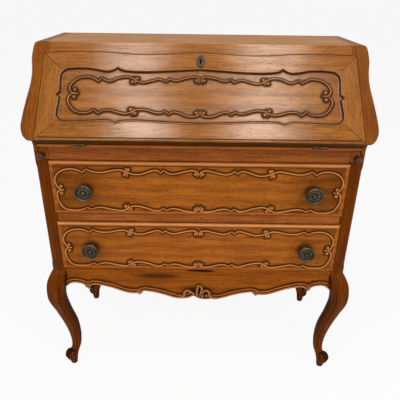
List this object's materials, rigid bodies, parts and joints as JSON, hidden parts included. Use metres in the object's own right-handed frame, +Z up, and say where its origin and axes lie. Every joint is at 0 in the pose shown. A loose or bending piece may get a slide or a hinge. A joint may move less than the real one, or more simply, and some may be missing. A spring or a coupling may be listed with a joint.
{
  "type": "fall-front secretary",
  "caption": "Slant-front writing desk on cabriole legs: a fall front folds down onto sliding lopers as a writing surface, with full-width drawers and a shaped apron below.",
  "frame": {"origin": "on the floor, under the middle of the overall box", "axes": "+X to the right seen from the front, +Y to the back, +Z up"},
  "size_m": [0.8984, 0.4318, 0.999],
  "materials": {
    "walnut": "waxed, medium brown",
    "dark_walnut": "waxed, dark brown",
    "oak": "plain, inside and back",
    "knob_wood": "turned, dark",
    "bronze": "dark patina",
    "brass": "dull",
    "steel": "dull"
  },
  "bodies": {
    "case": {"top_board": "walnut", "top_front_rail": "walnut", "left_wing": "walnut", "right_wing": "walnut", "front_left_leg": "dark_walnut", "front_right_leg": "dark_walnut", "rear_left_leg": "dark_walnut", "rear_right_leg": "dark_walnut", "left_side_panel": "walnut", "right_side_panel": "walnut", "left_side_apron": "walnut", "right_side_apron": "walnut", "front_apron": "walnut", "frieze_rail": "dark_walnut", "drawer_divider_rail": "dark_walnut", "bottom_board": "oak", "desk_bed": "dark_walnut", "back_panel": "oak", "left_drawer_runner": "oak", "right_drawer_runner": "oak", "left_loper_guide": "oak", "right_loper_guide": "oak", "pigeonhole_shelf": "oak", "left_pigeonhole_divider": "oak", "right_pigeonhole_divider": "oak", "left_hinge_bed_leaf": "brass", "right_hinge_bed_leaf": "brass"},
    "fall_front": {"lid_top_rail": "walnut", "lid_bottom_rail": "walnut", "lid_left_stile": "walnut", "lid_right_stile": "walnut", "lid_panel": "walnut", "left_hinge_lid_leaf": "brass", "right_hinge_lid_leaf": "brass", "lock_case": "brass", "escutcheon": "bronze"},
    "lock_bolt": {"lock_bolt": "steel"},
    "left_loper": {"left_loper": "dark_walnut", "left_loper_knob": "knob_wood"},
    "right_loper": {"right_loper": "dark_walnut", "right_loper_knob": "knob_wood"},
    "upper_drawer": {"upper_drawer_front": "walnut", "upper_drawer_left_side": "oak", "upper_drawer_right_side": "oak", "upper_drawer_back": "oak", "upper_drawer_bottom": "oak", "upper_drawer_left_knob": "bronze", "upper_drawer_right_knob": "bronze"},
    "lower_drawer": {"lower_drawer_front": "walnut", "lower_drawer_left_side": "oak", "lower_drawer_right_side": "oak", "lower_drawer_back": "oak", "lower_drawer_bottom": "oak", "lower_drawer_left_knob": "bronze", "lower_drawer_right_knob": "bronze"},
    "left_inner_drawer": {"left_inner_drawer": "oak", "left_inner_knob": "brass"},
    "right_inner_drawer": {"right_inner_drawer": "oak", "right_inner_knob": "brass"}
  },
  "joints": [
    {"name": "fall_front_hinge", "type": "hinge", "parent": "case", "child": "fall_front", "pos_m": [0, -0.19911, 0.781], "axis": [1, 0, 0], "range_deg": [0, 133]},
    {"name": "upper_drawer_slide", "type": "slide", "parent": "case", "child": "upper_drawer", "axis": [0, -1, 0], "range_m": [0, 0.24]},
    {"name": "lower_drawer_slide", "type": "slide", "parent": "case", "child": "lower_drawer", "axis": [0, -1, 0], "range_m": [0, 0.24]},
    {"name": "left_loper_slide", "type": "slide", "parent": "case", "child": "left_loper", "axis": [0, -1, 0], "range_m": [0, 0.2]},
    {"name": "right_loper_slide", "type": "slide", "parent": "case", "child": "right_loper", "axis": [0, -1, 0], "range_m": [0, 0.2]},
    {"name": "left_inner_drawer_slide", "type": "slide", "parent": "case", "child": "left_inner_drawer", "axis": [0, -1, 0], "range_m": [0, 0.12]},
    {"name": "right_inner_drawer_slide", "type": "slide", "parent": "case", "child": "right_inner_drawer", "axis": [0, -1, 0], "range_m": [0, 0.12]},
    {"name": "lock_bolt_slide", "type": "slide", "parent": "fall_front", "child": "lock_bolt", "axis": [0, 0.682, 0.7314], "range_m": [0, 0.008]}
  ]
}
